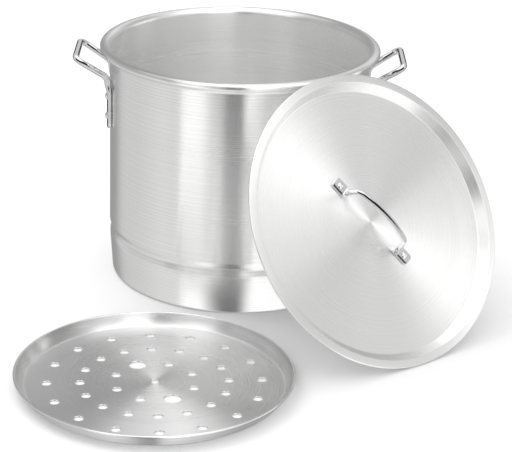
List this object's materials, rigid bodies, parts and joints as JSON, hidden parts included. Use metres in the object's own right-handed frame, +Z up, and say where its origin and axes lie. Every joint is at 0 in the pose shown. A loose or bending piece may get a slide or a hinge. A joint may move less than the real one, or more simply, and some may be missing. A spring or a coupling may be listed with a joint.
{
  "type": "brew kettle with lid and false bottom plate",
  "caption": "Straight-walled brew kettle with rolled rim and loop handles, recessed lid leaning on it and perforated false-bottom plate.",
  "frame": {"origin": "centre of the kettle's flat underside, on the floor", "axes": "+Z up along the kettle's axis, -Y towards the front where the plate lies, the loop handles point along -X and +X"},
  "size_m": [0.6033, 0.7342, 0.322],
  "materials": {
    "spun_aluminium": "fine horizontal brushing, satin",
    "lid_aluminium": "bright satin with concentric turning lines",
    "plate_aluminium": "satin with concentric turning lines",
    "polished_steel": "mirror polished",
    "rivet_metal": "bright, soft sheen"
  },
  "bodies": {
    "kettle": {"kettle_body": "spun_aluminium", "left_handle": "polished_steel", "right_handle": "polished_steel", "left_front_rivets": "rivet_metal", "left_rear_rivets": "rivet_metal", "right_front_rivets": "rivet_metal", "right_rear_rivets": "rivet_metal"},
    "lid": {"lid_cover": "lid_aluminium", "lid_handle": "polished_steel", "lid_upper_rivet": "rivet_metal", "lid_lower_rivet": "rivet_metal"},
    "plate": {"steamer_plate": "plate_aluminium"}
  },
  "joints": [
    {"name": "lid_lift", "type": "slide", "parent": "kettle", "child": "lid", "axis": [0, 0, 1], "range_m": [0, 0.4]},
    {"name": "plate_lift", "type": "slide", "parent": "kettle", "child": "plate", "axis": [0, 0, 1], "range_m": [0, 0.055]}
  ]
}
